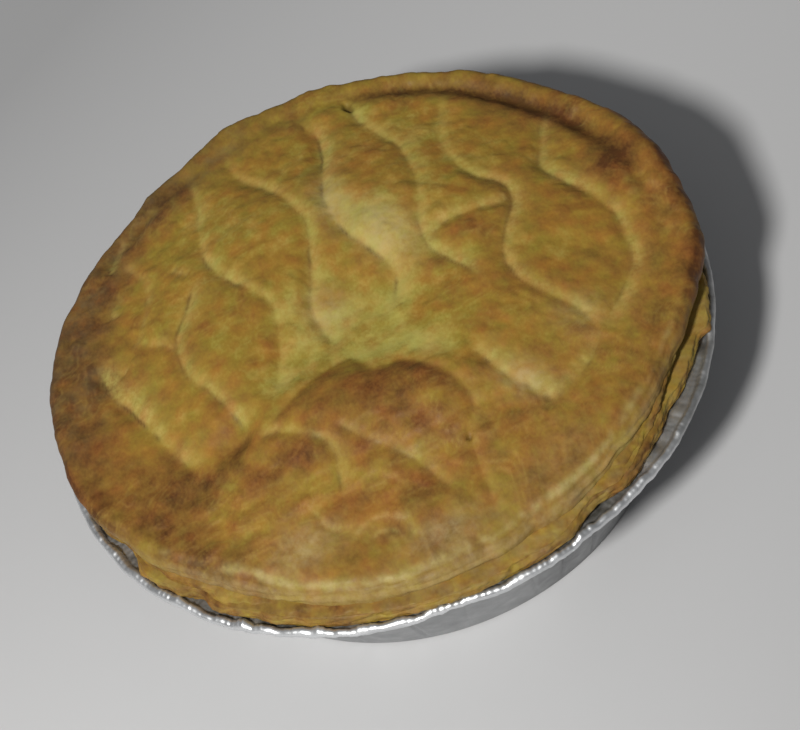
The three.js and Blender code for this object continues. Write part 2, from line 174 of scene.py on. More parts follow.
def bell(x, y, cx, cy, a, b, turn=0.0, hard=1.0):
    c, s = math.cos(math.radians(turn)), math.sin(math.radians(turn))
    u = (x - cx) * c + (y - cy) * s
    v = -(x - cx) * s + (y - cy) * c
    if isinstance(b, tuple):
        b = np.where(v > 0, b[0], b[1])
    return np.exp(-(((u / a) ** 2 + (v / b) ** 2) ** hard))


def off_deg(phi, at):
    return np.degrees(np.angle(np.exp(1j * (phi - math.radians(at)))))


# -------------------------------------------------------------------- lid relief
def lid_radius(phi):
    r = LID_R
    for order, swing, direction in LID_WOBBLE:
        r = r + swing * np.cos(order * phi - math.radians(direction))
    return np.minimum(r, LID_R_MAX) - 0.9 * np.exp(-((off_deg(phi, 28) / 8) ** 2)) - 0.9 * np.exp(-((off_deg(phi, -158) / 6) ** 2)) + 0.7 * np.exp(-((off_deg(phi, -171) / 7) ** 2))


def front_side(phi):
    """1 along the front and front left, where the layered side shows."""
    return ss(75, 35, np.abs(off_deg(phi, -95)))


def rim_shape(phi):
    """Radius of the lid's top edge, and how wide and how deep it rounds off."""
    f = front_side(phi)
    right = ss(42, 12, np.abs(off_deg(phi, -4)))
    return lid_radius(phi) - 1.7 * f, 2.0 + 1.0 * right + 2.2 * f, 2.0 + 1.1 * right + 1.5 * f


def groove_deep(phi):
    """The pressed ring inside the rim: strong at the back right, faint elsewhere."""
    strong = ss(48, 22, np.abs(off_deg(phi, 32)))
    back = ss(80, 45, np.abs(off_deg(phi, 88)))
    return 0.06 + 0.40 * back + 1.25 * strong


def lid_macro(x, y):
    r = np.hypot(x, y)
    phi = np.arctan2(y, x)
    lean = np.minimum(1, 56 / np.maximum(r, 1e-6)) / 56
    z = EDGE_Z + (EDGE_TILT_Y * y + EDGE_TILT_X * x) * lean
    z = z + CROWN_H * (1 - ss(0.40, 1.0, np.minimum(r / 55, 1)))
    at = GROOVE_R + 0.5 * noise3(np.cos(phi) * 3, np.sin(phi) * 3, 0.5, 12)
    deep = groove_deep(phi) * (0.85 + 0.35 * noise3(np.cos(phi) * 5, np.sin(phi) * 5, 1.5, 13))
    off = r - at
    z = z - deep * np.exp(-((off / np.where(off < 0, 2.5, 1.7)) ** 2))
    for sx, sy, a, b, turn, h, hard in SWELLS:
        z = z + h * bell(x, y, sx, sy, a, b, turn, hard)
    return z


def curve_through(pts, per=6):
    """Smooth (Catmull-Rom) line through the points."""
    p = np.array(pts, float)
    p = np.vstack([2 * p[0] - p[1], p, 2 * p[-1] - p[-2]])
    out = []
    for k in range(1, len(p) - 2):
        t = np.linspace(0, 1, per, endpoint=False)[:, None]
        a, b, c, d = p[k - 1], p[k], p[k + 1], p[k + 2]
        out.append(0.5 * (2 * b + (c - a) * t + (2 * a - 5 * b + 4 * c - d) * t**2 + (3 * b - a - 3 * c + d) * t**3))
    return np.vstack(out + [p[-2:-1]])


def line_offset(x, y, pts):
    """Signed distance to a line of points, positive on its left, and the share of
    its length passed."""
    best = np.full(x.shape, 1e9)
    sign = np.ones(x.shape)
    along = np.zeros(x.shape)
    seg = np.diff(pts, axis=0)
    length = np.hypot(seg[:, 0], seg[:, 1])
    start = np.concatenate([[0], np.cumsum(length)])
    for k in range(len(seg)):
        ax, ay = pts[k]
        ux, uy = seg[k]
        t = np.clip(((x - ax) * ux + (y - ay) * uy) / length[k] ** 2, 0, 1)
        dx, dy = x - (ax + t * ux), y - (ay + t * uy)
        d = dx * dx + dy * dy
        near = d < best
        best = np.where(near, d, best)
        sign = np.where(near, np.where(ux * dy - uy * dx > 0, 1.0, -1.0), sign)
        along = np.where(near, start[k] + t * length[k], along)
    return np.sqrt(best) * sign, along / start[-1]


MARK_REACH = 12.0


def mark_fields(x, y):
    """Adds up all cuts and folds: height, and the masks near (close to a cut), pale, the painted shade
    in each cut's dark core, and shade (painted shade on the shoulder beyond a cut, which slopes away from the lamp)."""
    wx = x + 0.35 * noise3(x / 7, y / 7, 3.0, 41) + 0.14 * noise3(x / 2.2, y / 2.2, 3.0, 43)
    wy = y + 0.35 * noise3(x / 7, y / 7, 9.0, 42) + 0.14 * noise3(x / 2.2, y / 2.2, 9.0, 44)
    shape = x.shape
    wx, wy = wx.ravel(), wy.ravel()
    cut = np.zeros(wx.size)
    near = np.zeros(wx.size)
    bank = np.zeros(wx.size)
    pale = np.zeros(wx.size)
    cut_shade = np.zeros(wx.size)
    shade = np.zeros(wx.size)
    for k, (deep, wide, left, right, light, pts) in enumerate(MARKS):
        line = curve_through(pts)
        lo, hi = line.min(0) - MARK_REACH, line.max(0) + MARK_REACH
        pick = np.nonzero((wx > lo[0]) & (wx < hi[0]) & (wy > lo[1]) & (wy < hi[1]))[0]
        px, py = wx[pick], wy[pick]
        d, t = line_offset(px, py, line)
        a = np.abs(d)
        pos = d > 0
        s = ss(-0.02, 0.10, t) * ss(1.02, 0.90, t)
        wob = noise3(t * 14 + 5.3 * k, 0.5 * k, 0.0, 51)
        wob2 = noise3(t * 6 + 2.1 * k, 0.9 * k, 4.0, 52)
        depth = deep * s * (1 + 0.30 * wob + 0.30 * wob2)
        lip = wide * (1 + 0.25 * wob2)
        c = np.where(pos, np.exp(-((a / lip) ** 1.6)), np.exp(-((a / (0.50 + 0.38 * wide)) ** 1.6)))
        cut[pick] = np.maximum(cut[pick], depth * c)
        near[pick] = np.maximum(near[pick], s * np.minimum(1, deep / 0.5) * np.exp(-((a / 3.6) ** 2)))
        rise = np.where(pos, left * (1 - np.exp(-((a / lip) ** 2))) * np.exp(-((a / 4.6) ** 2)),
                        right * (1 - np.exp(-((a / 1.1) ** 2))) * np.exp(-((a / 4.6) ** 2)))
        bank[pick] += s * rise
        p = light * s * (1 + 0.55 * wob + 0.35 * wob2) * np.where(pos, 0.55 * np.exp(-((np.abs(a - 0.6 * lip) / (0.6 * lip)) ** 2.2)) + 0.45 * np.exp(-((a / (1.9 * lip)) ** 2)), 0.30 * np.exp(-((a / 0.8) ** 2)))
        pale[pick] = np.maximum(pale[pick], p)
        # painted shade in the dark core of each cut
        cut_shade[pick] = np.maximum(cut_shade[pick], s * np.exp(-((d / 0.40) ** 2)) * np.clip(0.50 + 0.8 * wob + 0.5 * wob2, 0, 1.1) * np.minimum(deep * 1.8, 1))
        shade[pick] = np.maximum(shade[pick], s * np.minimum(1, deep / 0.5) * np.where(pos, 0, np.exp(-(((a - 1.6) / 1.6) ** 2))))
    return tuple(v.reshape(shape) for v in (cut, near, bank, pale, cut_shade, shade))


def pits(x, y):
    h = np.zeros(x.shape)
    pit_shade = np.zeros(x.shape)
    for cx, cy, a, b, turn, deep in PITS:
        k = bell(x + 0.25 * noise3(x, y, 0, 61), y + 0.25 * noise3(x, y, 5, 62), cx, cy, a, b, turn, 1.6)
        h = h - deep * k
        # each pit gets painted shade
        pit_shade = np.maximum(pit_shade, k * min(1.0, deep))
    return h, pit_shade


def terraces(n, levels, soft):
    """Turns a smooth field into flat steps with soft edges, as lifting flakes;
    also says where the edges are."""
    q = (n * 0.5 + 0.5) * levels
    f = q - np.floor(q)
    return (np.floor(q) + ss(1 - soft, 1.0, f)) / levels, ss(1 - soft, 1 - 0.45 * soft, f) * ss(1.0, 1 - 0.25 * soft, f)


def lid_detail(x, y):
    """Height of the fine relief, and the masks used for its colour."""
    r = np.hypot(x, y)
    phi = np.arctan2(y, x)
    cut, near, bank, pale, cut_shade, shade = mark_fields(x, y)
    dip, pit_shade = pits(x, y)
    field = 1 - ss(53, 57, r)
    h = -cut - 0.36 * near + bank + dip
    h = h + 0.3 * field
    # uneven puffing, shallow wrinkles, lifted flakes and small blisters
    puff = 0.42 * fbm(x / 10, y / 10, 0, 7, 3)
    wrinkle = 0.095 * fbm(x / 3.0, y / 2.6 + 0.6 * puff, 0, 23, 3, 0.5)
    crinkle = 0.02 * (0.5 - np.abs(fbm(x / 2.1, y / 1.7, 3.0, 27, 2)) * 2.4)
    front = np.exp(-(((y + 40) / 17) ** 2)) * ss(62, 40, np.abs(x + 8))
    veil = np.maximum(ss(-0.1, 0.35, fbm(x / 9, y / 9, 5.0, 93, 2)), front)
    flake_field = fbm(x / (5.5 + 3.0 * front) + 0.5 * puff, y / (5.0 - 1.6 * front), 2.0, 91, 2)
    step, edge = terraces(flake_field, 6, 0.45)
    flake = (0.30 + 0.40 * front) * step * veil
    bd, bid = cells(x + 0.3 * noise3(x, y, 0, 3), y, 4.2, 9)
    size = 0.7 + 1.5 * bid
    blister = np.where(bid > 0.45, 0.34 * np.clip(1 - (bd / size) ** 2, 0, 1) * (bid - 0.3), 0)
    sd, sid = cells(x + 0.2 * noise3(x * 2, y * 2, 0, 4), y, 2.1, 19)
    small = np.where(sid > 0.4, 0.13 * np.clip(1 - (sd / (0.4 + 0.7 * sid)) ** 2, 0, 1) * (sid - 0.2), 0)
    grain = 0.03 * fbm(x / 0.9, y / 0.9, 0, 31, 2)
    rim = ss(53, 57, r)
    lumps = rim * (0.20 * fbm(x / 3.2, y / 3.2, 1.0, 35, 2) + 0.25 * noise3(x / 7, y / 7, 1.0, 36))
    h = h + puff + wrinkle + crinkle + flake + blister + small + grain + lumps
    return h, dict(near=near, pale=pale, cut_shade=np.maximum(cut_shade, pit_shade), shade=shade, blister=blister + small, flake=flake_field, veil=veil, edge=edge * veil)


BROWN_SPOTS = [
    # x, y, reach, reach, turn, how much browner (paler if negative)
    (-3, -24.5, 14, 6.5, -12, 0.26),
    (-12, -21, 5, 3.0, 10, 0.06),
    (1, -31, 4.0, 2.0, -10, 0.20),
    (4, -35, 4.0, 1.8, -35, 0.14),
    (5.8, -29.2, 3.4, 1.6, -10, -0.36),
    (-21, -27, 7, 4, 0, 0.20),
    (-37, -22, 7.5, 3.6, 0, 0.28),
    (-30, -18.2, 3.8, 2.8, 10, 0.20),
    (-43, -17, 8, 3.4, -52, 0.26),
    (11, 31, 4.5, 7, 0, 0.08),
    (9, 17, 4, 6, 15, -0.34),
    (24, 4, 6, 4, 0, 0.20),
    (-14, 33, 5, 8, 0, 0.04),
    (-46, 14, 5, 10, 10, 0.16),
    (-28, 6, 6, 6, 0, 0.06),
    (44, -4, 4.0, 7, 20, 0.16),
    (30, -12, 10, 5, 0, 0.06),
    (-26, -43, 4, 3, 0, -0.24),
    (18, -37, 5, 4, 0, 0.10),
    (12, 11, 4, 5, 0, -0.20),
    (33, 30, 6, 5, 0, 0.08),
    (46, 26, 4, 8, 60, 0.16),
    (51, 7.5, 2.6, 6.5, 5, 0.26),
    (62, 3, 3.2, 12, 5, 0.16),
    (53, 17, 4, 6, 0, -0.12),
    (39, 37, 3, 8, 45, 0.10),
    (57.5, -3, 4, 8, 0, 0.03),
    (59, -14, 3.5, 6, 0, 0.12),
    (37, 43.5, 7, 3.5, -45, 0.07),
    (29, -53, 11, 5, 30, -0.16),
    (-25, 4, 5, 5, 0, -0.10),
    (-12, -40, 5, 3, 0, 0.12),
    (33, 28, 6, 5, 0, -0.08),
    (-30, -12, 5, 5, 0, 0.16),
    (-41, -13, 5, 4, 0, 0.16),
    (-37, 20, 5, 4, 0, 0.14),
    (-9.8, -3.5, 4, 3.4, 0, 0.12),
    (-7, -30, 5, 3, -40, 0.14),
    (-2, -35, 4, 3, -30, 0.12),
    (-6.3, -8.0, 2.2, 1.5, 30, 0.10),
    (4, -14, 9, 3.6, -15, -0.22),
    (10.5, -20, 5, 3.8, -45, -0.36),
    (23, 17, 4, 5, 0, -0.08),
    (-52, -28, 6.5, 3.4, -62, -0.28),
    (39, -6, 6, 4, 0, -0.10),
    (2, -4, 11, 9, 0, -0.28),
    (-15, -9, 9, 4, 30, -0.24),
    (-2, 8, 4.5, 8, 0, -0.04),
    (-12, 2, 4.0, 8, 0, -0.10),
    (21, -31, 4, 3.0, -40, -0.16),
    (20, -48, 9, 4, 20, 0.02),
    (-16, -52, 12, 3.4, -10, -0.12),
    (-11, -48, 2.6, 1.6, 0, 0.18),
    (-24, -42, 5, 3, 20, 0.12),
    (-14, -39, 5, 2.5, 0, 0.14),
    (-4, -42, 6, 3, 0, 0.16),
    (-40, -34, 5, 3, -45, -0.06),
    (2.5, 26, 3, 7, 0, -0.12),
    (18, 32, 10, 8, 0, -0.07),
    (-28, -27, 5, 4, 0, 0.10),
]

# back edge of the front blister: toasted on its front side
CREST = [(-24.0, -20.4), (-20.5, -17.8), (-17.3, -15.6), (-14.5, -14.0), (-11.9, -12.8), (-9.4, -12.0), (-7.0, -11.7), (-4.9, -12.4), (-3.2, -15.2), (-2.2, -18.4), (-0.7, -18.6), (0.9, -17.9), (2.6, -18.3), (4.6, -20.1), (6.7, -22.6), (9.2, -25.8), (10.6, -28.8), (11.0, -31.2), (10.4, -34.4)]

# x, y, reach, reach, turn, how much redder (greener straw if negative)
RED_SPOTS = [
    (12, 32, 5, 7, 0, 1.0),
    (-25, 4, 5, 6, 0, -0.5),
    (24, 6, 6, 4, 0, 0.4),
    (44, -4, 4, 6, 0, 0.6),
    (57, 6, 4, 7, 0, 0.4),
    (62.5, 2, 3.4, 14, 5, 1.3),
    (-12, -40.5, 4.5, 2.6, 0, 1.2),
    (-4, -41.0, 4.5, 2.2, 0, 1.0),
    (-5, -33.0, 3.0, 1.2, -35, 0.9),
    (-19, -38, 3.0, 2.2, 0, 0.7),
    (-2, -24, 13, 5, -12, 0.6),
    (-55, -4, 5, 12, 10, 0.7),
    (2, -5, 10, 7, 0, -1.0),
    (3, -13.5, 8, 4, -10, -1.1),
    (0, -55, 26, 5, 0, -0.6),
    (-15, -9, 9, 4, 30, -0.9),
    (-2, 8, 4.5, 9, 0, -0.7),
    (-13, 4, 5, 10, 0, -0.5),
    (8, 18, 5, 6, 0, -0.4),
    (-30, 38, 6, 6, 0, -0.5),
    (40, 14, 8, 5, 40, -0.5),
    (-52, -28, 6, 4, -62, -1.0),
]


# x, y, reach, reach, turn, how much creamier and less yellow
CREAM_SPOTS = [
    (10, 12, 4.5, 8, 15, 0.9),
    (21, -31, 5, 3.5, -40, 0.8),
    (-26, -43, 6, 4, 0, 0.8),
    (-2, -52, 8, 3, 0, 0.7),
    (20, -48, 9, 4, 20, 0.2),
    (-6, 1, 4.5, 6, 0, 0.6),
    (2.5, 25, 3.2, 7, 0, 0.8),
    (35, -22, 5, 4, 0, 0.4),
]


def lid_browning(x, y, m):
    r = np.hypot(x, y)
    phi = np.arctan2(y, x)
    # paler towards the back, painted light making up for the back leaning away from the lamp; browner towards the front
    b = 0.43 - 0.05 * ss(0, 30, y) + 0.07 * ss(-14, -34, y)
    # painted shade in the pressed groove, strongest at the back right, where its inner wall faces away from the lamp
    groove_shade = np.exp(-(((r - GROOVE_R + 0.6) / 2.2) ** 2)) * ss(46, 26, np.abs(off_deg(phi, 40)))
    b = b + 0.34 * groove_shade
    # darker, greyer brown on the far left rim and the rim's back: browner baking, and painted shade where the rim turns
    # away from the lamp
    far_left = ss(58, 28, np.abs(off_deg(phi, 137))) * ss(46, 57, r)
    for sx, sy, sa, sb, turn, k in BROWN_SPOTS:
        b = b + k * bell(x, y, sx, sy, sa, sb, turn)
    d, t = line_offset(x + 0.5 * noise3(x / 3, y / 3, 0, 98), y + 0.5 * noise3(x / 3, y / 3, 4, 99), curve_through(CREST))
    toast = ss(0.6, -1.4, d) * np.exp(-((d / 5.0) ** 2)) * ss(0.02, 0.2, t) * ss(1.0, 0.8, t)
    b = b + toast * (0.18 + 0.10 * ss(0.5, 0.65, t))
    rim = ss(44, 56, r)
    b = b + rim * (0.22 * ss(75, 35, np.abs(off_deg(phi, 172))) + 0.10 * ss(60, 25, np.abs(off_deg(phi, 14))) + 0.09) + 0.14 * far_left
    # the shoulder beyond each cut gets painted shade, as it slopes away from the lamp
    b = b + 0.12 * (1 - m["near"]) - 0.06 + 0.12 * m["shade"]
    xr, yr = 0.8 * x + 0.6 * y, 0.8 * y - 0.6 * x
    b = b + 0.10 * fbm(xr / 5.5, yr / 5.5, 0, 61, 2) + 0.09 * fbm(yr / 2.4, xr / 2.4, 0, 67, 1)
    b = b + 0.28 * m["blister"] + 0.12 * m["veil"] * m["flake"] - 0.04 * m["edge"]
    red = -0.12 - 0.15 * groove_shade - 0.65 * ss(47, 55, r) * ss(55, 25, np.abs(off_deg(phi, 80))) + 0.60 * fbm(xr / 4.0, yr / 4.0, 7.0, 71, 2) + 0.60 * fbm(yr / 2.2, xr / 2.2, 7.0, 73, 1)
    for sx, sy, sa, sb, turn, k in RED_SPOTS:
        red = red + 0.6 * k * bell(x, y, sx, sy, sa, sb, turn)
    pale = np.maximum(m["pale"], 0.16 * m["edge"])
    # greyer tone on the far left rim: browner baking with painted shade
    ash_and_shade = np.clip(0.8 * far_left * (0.75 + 0.5 * noise3(x / 3, y / 3, 0, 96)), 0, 1)
    cream = sum(k * bell(x, y, sx, sy, sa, sb, turn) for sx, sy, sa, sb, turn, k in CREAM_SPOTS)
    return np.clip(b, 0, 1), np.clip(pale, 0, 1), np.clip(m["cut_shade"], 0, 1), np.clip(0.5 + 0.5 * red, 0, 1), ash_and_shade, np.clip(cream, 0, 1)


# -------------------------------------------------------------------- mesh tools
def new_mesh(name, verts, faces, body="root"):
    """verts in mm; faces is an (n, 4) or (n, 3) array, or a list of such arrays."""
    me = bpy.data.meshes.new(name)
    groups = faces if isinstance(faces, list) else [faces]
    me.vertices.add(len(verts))
    me.vertices.foreach_set("co", (np.asarray(verts, float) * MM).ravel())
    loops = np.concatenate([g.ravel() for g in groups])
    sizes = np.concatenate([np.full(len(g), g.shape[1]) for g in groups])
    me.loops.add(len(loops))
    me.loops.foreach_set("vertex_index", loops.astype(np.int32))
    me.polygons.add(len(sizes))
    starts = np.concatenate([[0], np.cumsum(sizes)[:-1]])
    me.polygons.foreach_set("loop_start", starts.astype(np.int32))
    me.polygons.foreach_set("use_smooth", np.ones(len(sizes), bool))
    me.update(calc_edges=True)
    me.validate()
    ob = bpy.data.objects.new(name, me)
    bpy.context.scene.collection.objects.link(ob)
    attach(ob, body)
    return ob


def paint(ob, name, rgb):
    """Stores a colour attribute: rgb is (n, 3), linear."""
    n = len(ob.data.vertices)
    layer = ob.data.color_attributes.new(name=name, type="FLOAT_COLOR", domain="POINT")
    data = np.ones((n, 4))
    data[:, : rgb.shape[1]] = rgb
    layer.data.foreach_set("color", data.ravel())


def grid_normals(P):
    """Unit normals of a grid of points (rows, columns, 3)."""
    du = np.gradient(P, axis=1)
    dv = np.gradient(P, axis=0)
    n = np.cross(du, dv)
    return n / np.maximum(np.linalg.norm(n, axis=-1, keepdims=True), 1e-12)


def ring_faces(steps, count):
    """Quads of a closed ring: steps round, count points in the closed section."""
    k = np.arange(steps)[:, None]
    j = np.arange(count)[None, :]
    a = k * count + j
    b = ((k + 1) % steps) * count + j
    c = ((k + 1) % steps) * count + (j + 1) % count
    d = k * count + (j + 1) % count
    return np.stack([a + 0 * j, b + 0 * j, c, d], -1).reshape(-1, 4)


# ----------------------------------------------------------------- the lid's skin
def build_lid():
    n = 304
    g = np.linspace(-1, 1, n + 1)
    u, v = np.meshgrid(g, g)
    x0 = u * np.sqrt(1 - v * v / 2)
    y0 = v * np.sqrt(1 - u * u / 2)
    rho = np.hypot(x0, y0)
    phi = np.arctan2(y0, x0)
    R, w, hh = rim_shape(phi)
    roll = 0.94 - 0.06 * front_side(phi)
    ragged = 0.35 * noise3(np.cos(phi) * 9, np.sin(phi) * 9, 2, 77) + 0.13 * noise3(np.cos(phi) * 26, np.sin(phi) * 26, 4, 78)
    ragged = ragged + 0.3 * np.minimum(0, noise3(np.cos(phi) * 16, np.sin(phi) * 16, 6, 79) + 0.35)
    R = np.minimum(R + ragged, TRAY_R + 0.3)
    alpha = np.clip((rho - roll) / (1 - roll), 0, 1) * math.radians(118)
    r = np.where(rho < roll, rho / roll * (R - w), (R - w) + w * np.sin(alpha))
    x, y = r * np.cos(phi), r * np.sin(phi)
    z = lid_macro(x, y) - hh * (1 - np.cos(alpha)) * (rho >= roll)
    P = np.stack([x, y, z], -1)
    N = grid_normals(P)
    h, m = lid_detail(x, y)
    edge = ss(R - 0.6 * w, R, r) * (rho > roll)
    h = h * (1 - 0.45 * edge)
    # soft strands of layers running along the rolled front edge
    f = front_side(phi)
    arc = w * alpha + 0.9 * noise3(x / 9, y / 9, 2.0, 81) + 0.25 * noise3(x / 3, y / 3, 2.0, 82)
    strand = np.sin(TAU * arc / 1.9) * (0.55 + 0.6 * noise3(x / 8, y / 8, arc / 2, 83))
    fine = np.sin(TAU * arc / 0.8 + 2 * noise3(x / 4, y / 4, 0, 84)) * (0.4 + 0.6 * noise3(x / 5, y / 5, arc, 85))
    band = ss(0.35, 0.9, alpha)
    h = h + (0.25 + 0.75 * f) * band * (0.17 * strand + 0.05 * fine + 0.22 * fbm(x / 3.5, y / 3.5, arc / 2.5, 86, 3))
    P = P + N * h[..., None]
    b, pale, cut_shade, red, ash_and_shade, cream = lid_browning(x, y, m)
    # the very edge is baked darkest; below it the layers already show through
    turn = ss(0.35, 0.8, alpha) * ss(2.0, 1.2, alpha)
    b = b + 0.16 * turn * (0.7 + 0.5 * noise3(x / 4, y / 4, 0, 92)) * (1 - 0.85 * f)
    side = ss(0.9, 1.9, alpha) * (rho >= roll)
    b = b - 0.06 * side + 0.12 * side * noise3(x / 3, y / 3, z / 0.8, 90) + 0.07 * f * band * strand
    # the pale ridge along the front, and paler strands under it
    ridge = np.exp(-(((alpha + 0.13 * noise3(x / 6, y / 6, 0, 95) - 0.58) / 0.20) ** 2)) * np.clip(0.55 + 1.0 * noise3(np.cos(phi) * 11, np.sin(phi) * 11, 0, 94) + 0.4 * noise3(x / 1.5, y / 1.5, 0, 97), 0, 1)
    pale = np.maximum(pale, f * np.maximum(0.76 * ridge, 0.24 * band * np.clip(strand, 0, 1)))
    red = np.clip(red - 0.42 * f * np.maximum(ridge, 0.6 * band), 0, 1)
    top = np.arange((n + 1) * (n + 1)).reshape(n + 1, n + 1)
    quads = np.stack([top[:-1, :-1], top[:-1, 1:], top[1:, 1:], top[1:, :-1]], -1).reshape(-1, 4)
    rim = np.concatenate([top[0, :-1], top[:-1, -1], top[-1, :0:-1], top[:0:-1, 0]])
    V = [P.reshape(-1, 3)]
    base = (n + 1) * (n + 1)
    ring = P.reshape(-1, 3)[rim]
    # closed underneath: in under the edge, then flat across
    inner = ring.copy()
    rr = np.hypot(ring[:, 0], ring[:, 1])
    inner[:, :2] *= ((rr - 5.0) / rr)[:, None]
    inner[:, 2] = np.minimum(ring[:, 2], 33.0) - 0.6
    V.append(inner)
    V.append(np.array([[0, 0, inner[:, 2].mean()]]))
    m_ = len(rim)
    k = np.arange(m_)
    k1 = (k + 1) % m_
    under = np.stack([rim[k], base + k, base + k1, rim[k1]], -1)
    cap = np.stack([base + k1, base + k, np.full(m_, base + m_)], -1)
    verts = np.concatenate(V)
    ob = new_mesh("lid_skin", verts, [quads, under, cap])
    col = np.full((len(verts), 3), 0.4)
    col[:base, 0] = np.clip(b, 0, 1).ravel()
    col[:base, 1] = pale.ravel()
    # blue channel: painted shade in cuts and pits
    col[:base, 2] = cut_shade.ravel()
    paint(ob, "bake", col)
    tint = np.full((len(verts), 3), 0.5)
    tint[:base, 0] = red.ravel()
    tint[:, 1] = 0.0
    tint[:base, 1] = ash_and_shade.ravel()
    tint[:, 2] = 0.0
    tint[:base, 2] = np.maximum(cream, f * np.maximum(0.75 * ridge, 0.55 * ss(0.75, 1.2, alpha))).ravel()
    paint(ob, "tint", tint)
    return ob


# ---------------------------------------------------------------- layered sides
def rim_dent(phi):
    """The tray's rim is pulled out at the front right and pushed in at the front."""
    out = 0.65 * np.exp(-((off_deg(phi, -48) / 15) ** 2)) - 0.50 * np.exp(-((off_deg(phi, -68) / 8) ** 2))
    return out - 0.8 * np.exp(-((off_deg(phi, -94) / 7) ** 2))


def lamellae(x, y, z, pitch, seed):
    """How far a stack of baked layers stands out at a point of the side, how deep
    in a split between layers the point lies (0 to 1), and the layer's own tone."""
    drift = 1.1 * noise3(x / 14, y / 14, 0.0, seed) + 0.5 * noise3(x / 5, y / 5, 1.0, seed + 1)
    level = (z + drift) / pitch + 0.25 * noise3(x / 2.2, y / 2.2, z / 1.5, seed + 2)
    idx = np.floor(level)
    f = level - idx
    lens = 1 - np.abs(2 * f - 1) ** 2.5
    own = 0.5 + 0.5 * noise3(x / 7.0, y / 7.0, idx * 5.37, seed + 3)
    proud = (0.25 + 0.75 * own) * lens
    thin = noise3(x / 3.0, y / 3.0, (z + drift) / (0.30 * pitch), seed + 4)
    out = 0.27 * proud + 0.12 * thin + 0.38 * noise3(x / 4.5, y / 4.5, z / 3.5, seed + 6) + 0.30 * fbm(x / 2.0, y / 2.0, z / 1.2, seed + 7, 2)
    split = (1 - lens) ** 1.8 * (0.2 + 0.8 * own) * ss(-0.3, 0.4, noise3(x / 4, y / 4, idx * 3.3, seed + 8))
    return out, split, noise3(x / 8, y / 8, idx * 9.1, seed + 5)


def build_side(name, top_of, bottom_of, r_top, r_bottom, steps, rows, pitch, seed, inner=9.0):
    phi = np.arange(steps) * TAU / steps
    t = np.linspace(0, 1, rows)
    PH, T = np.meshgrid(phi, t, indexing="ij")
    zt, zb = top_of(PH), bottom_of(PH)
    Z = zt + (zb - zt) * T
    rt, rb = r_top(PH), r_bottom(PH)
    bulge = np.sin(np.pi * T) * 0.35
    Rr = rt + (rb - rt) * T**1.15 + bulge
    X, Y = Rr * np.cos(PH), Rr * np.sin(PH)
    out, split, tone = lamellae(X, Y, Z, pitch, seed)
    ends = ss(0, 0.10, T) * ss(1, 0.92, T)
    Rr = Rr + out * (0.35 + 0.65 * ends) + 0.09 * fbm(X / 0.9, Y / 0.9, Z / 0.45, seed + 9, 2) + 0.30 * fbm(X / 2.4, Y / 2.4, Z / 1.4, seed + 10, 3)
    Rr = np.minimum(Rr, TRAY_R - 0.02)
    low = ss(27.5, 27.0, Z)
    Rr = Rr - low * np.maximum(0, Rr - 60.5 - rim_dent(PH))
    X, Y = Rr * np.cos(PH), Rr * np.sin(PH)
    outer = np.stack([X, Y, Z], -1)
    back = []
    for dr, low in ((inner * 0.5, True), (inner, True), (inner, False), (inner * 0.5, False)):
        rr = (rb if low else rt)[:, 0] - dr
        zc = zb[:, 0] if low else zt[:, 0] - (1.2 if dr < inner else 2.2) * min(1.0, (zt - zb).mean() / 4)
        back.append(np.stack([rr * np.cos(phi), rr * np.sin(phi), zc], -1))
    P = np.concatenate([outer, np.stack(back, 1)], 1)
    count = P.shape[1]
    faces = ring_faces(steps, count)[:, ::-1]
    ob = new_mesh(name, P.reshape(-1, 3), faces)
    left = ss(-96, -118, off_deg(PH, 0)) * ss(-180, -172, off_deg(PH, 0))
    right = ss(-44, -60, off_deg(PH, 0)) * ss(-88, -76, off_deg(PH, 0))
    front = ss(-78, -88, off_deg(PH, 0)) * ss(-125, -112, off_deg(PH, 0))
    brown = 0.60 + 0.10 * left + 0.12 * right + 0.10 * tone + 0.14 * (out - 0.3) + 0.30 * fbm(X / 2.2, Y / 2.2, Z / 1.3, seed + 11, 3)
    col = np.full((steps, count, 3), 0.4)
    col[:, :rows, 0] = np.clip(brown, 0, 1)
    col[:, :rows, 1] = np.clip(0.30 * split + 0.25 * ss(0.1, 0.6, -tone), 0, 1)
    # blue channel: painted shade deep in the splits between layers
    col[:, :rows, 2] = np.clip(split**3 * 0.07, 0, 1)
    paint(ob, "bake", col.reshape(-1, 3))
    tint = np.full((steps, count, 3), 0.5)
    tint[:, :rows, 0] = np.clip(0.22 - 0.08 * front + 0.6 * fbm(X / 3, Y / 3, Z / 2, seed + 13, 3), 0, 1)
    tint[:, :, 1] = 0.0
    tint[:, :rows, 2] = np.clip((0.28 + 0.14 * front + 0.6 * fbm(X / 2.0, Y / 2.0, Z / 1.0, seed + 14, 2)) * (1 - 0.6 * left), 0, 1)
    paint(ob, "tint", tint.reshape(-1, 3))
    return ob


def tongue(phi):
    """1 where a tongue of the lower crust has crept out over the tray's rim."""
    o = off_deg(phi, 0)
    return ss(-29.5, -27.5, o) * ss(-6, -14, o)


def crust_rim_radius(phi):
    o = off_deg(phi, 0)
    r = 60.3 - 1.1 * np.exp(-(((o + 45) / 9) ** 2)) + 0.9 * ss(-69, -79, o) * ss(-179, -170, o) * (1 - 0.5 * ss(-112, -128, o))
    for at, half, deep in ((-67.0, 3.5, 1.3), (-160.5, 3.6, 1.9), (-141.0, 2.6, 1.1), (-112.0, 3.0, 0.5)):
        r = r - deep * np.exp(-((off_deg(phi, at) / half) ** 2))
    k = tongue(phi)
    r = r * (1 - k) + (60.8 + 1.0 * ss(-12, -27, o)) * k
    return r + 0.35 * noise3(np.cos(phi) * 8, np.sin(phi) * 8, 7, 55) * (1 - k)


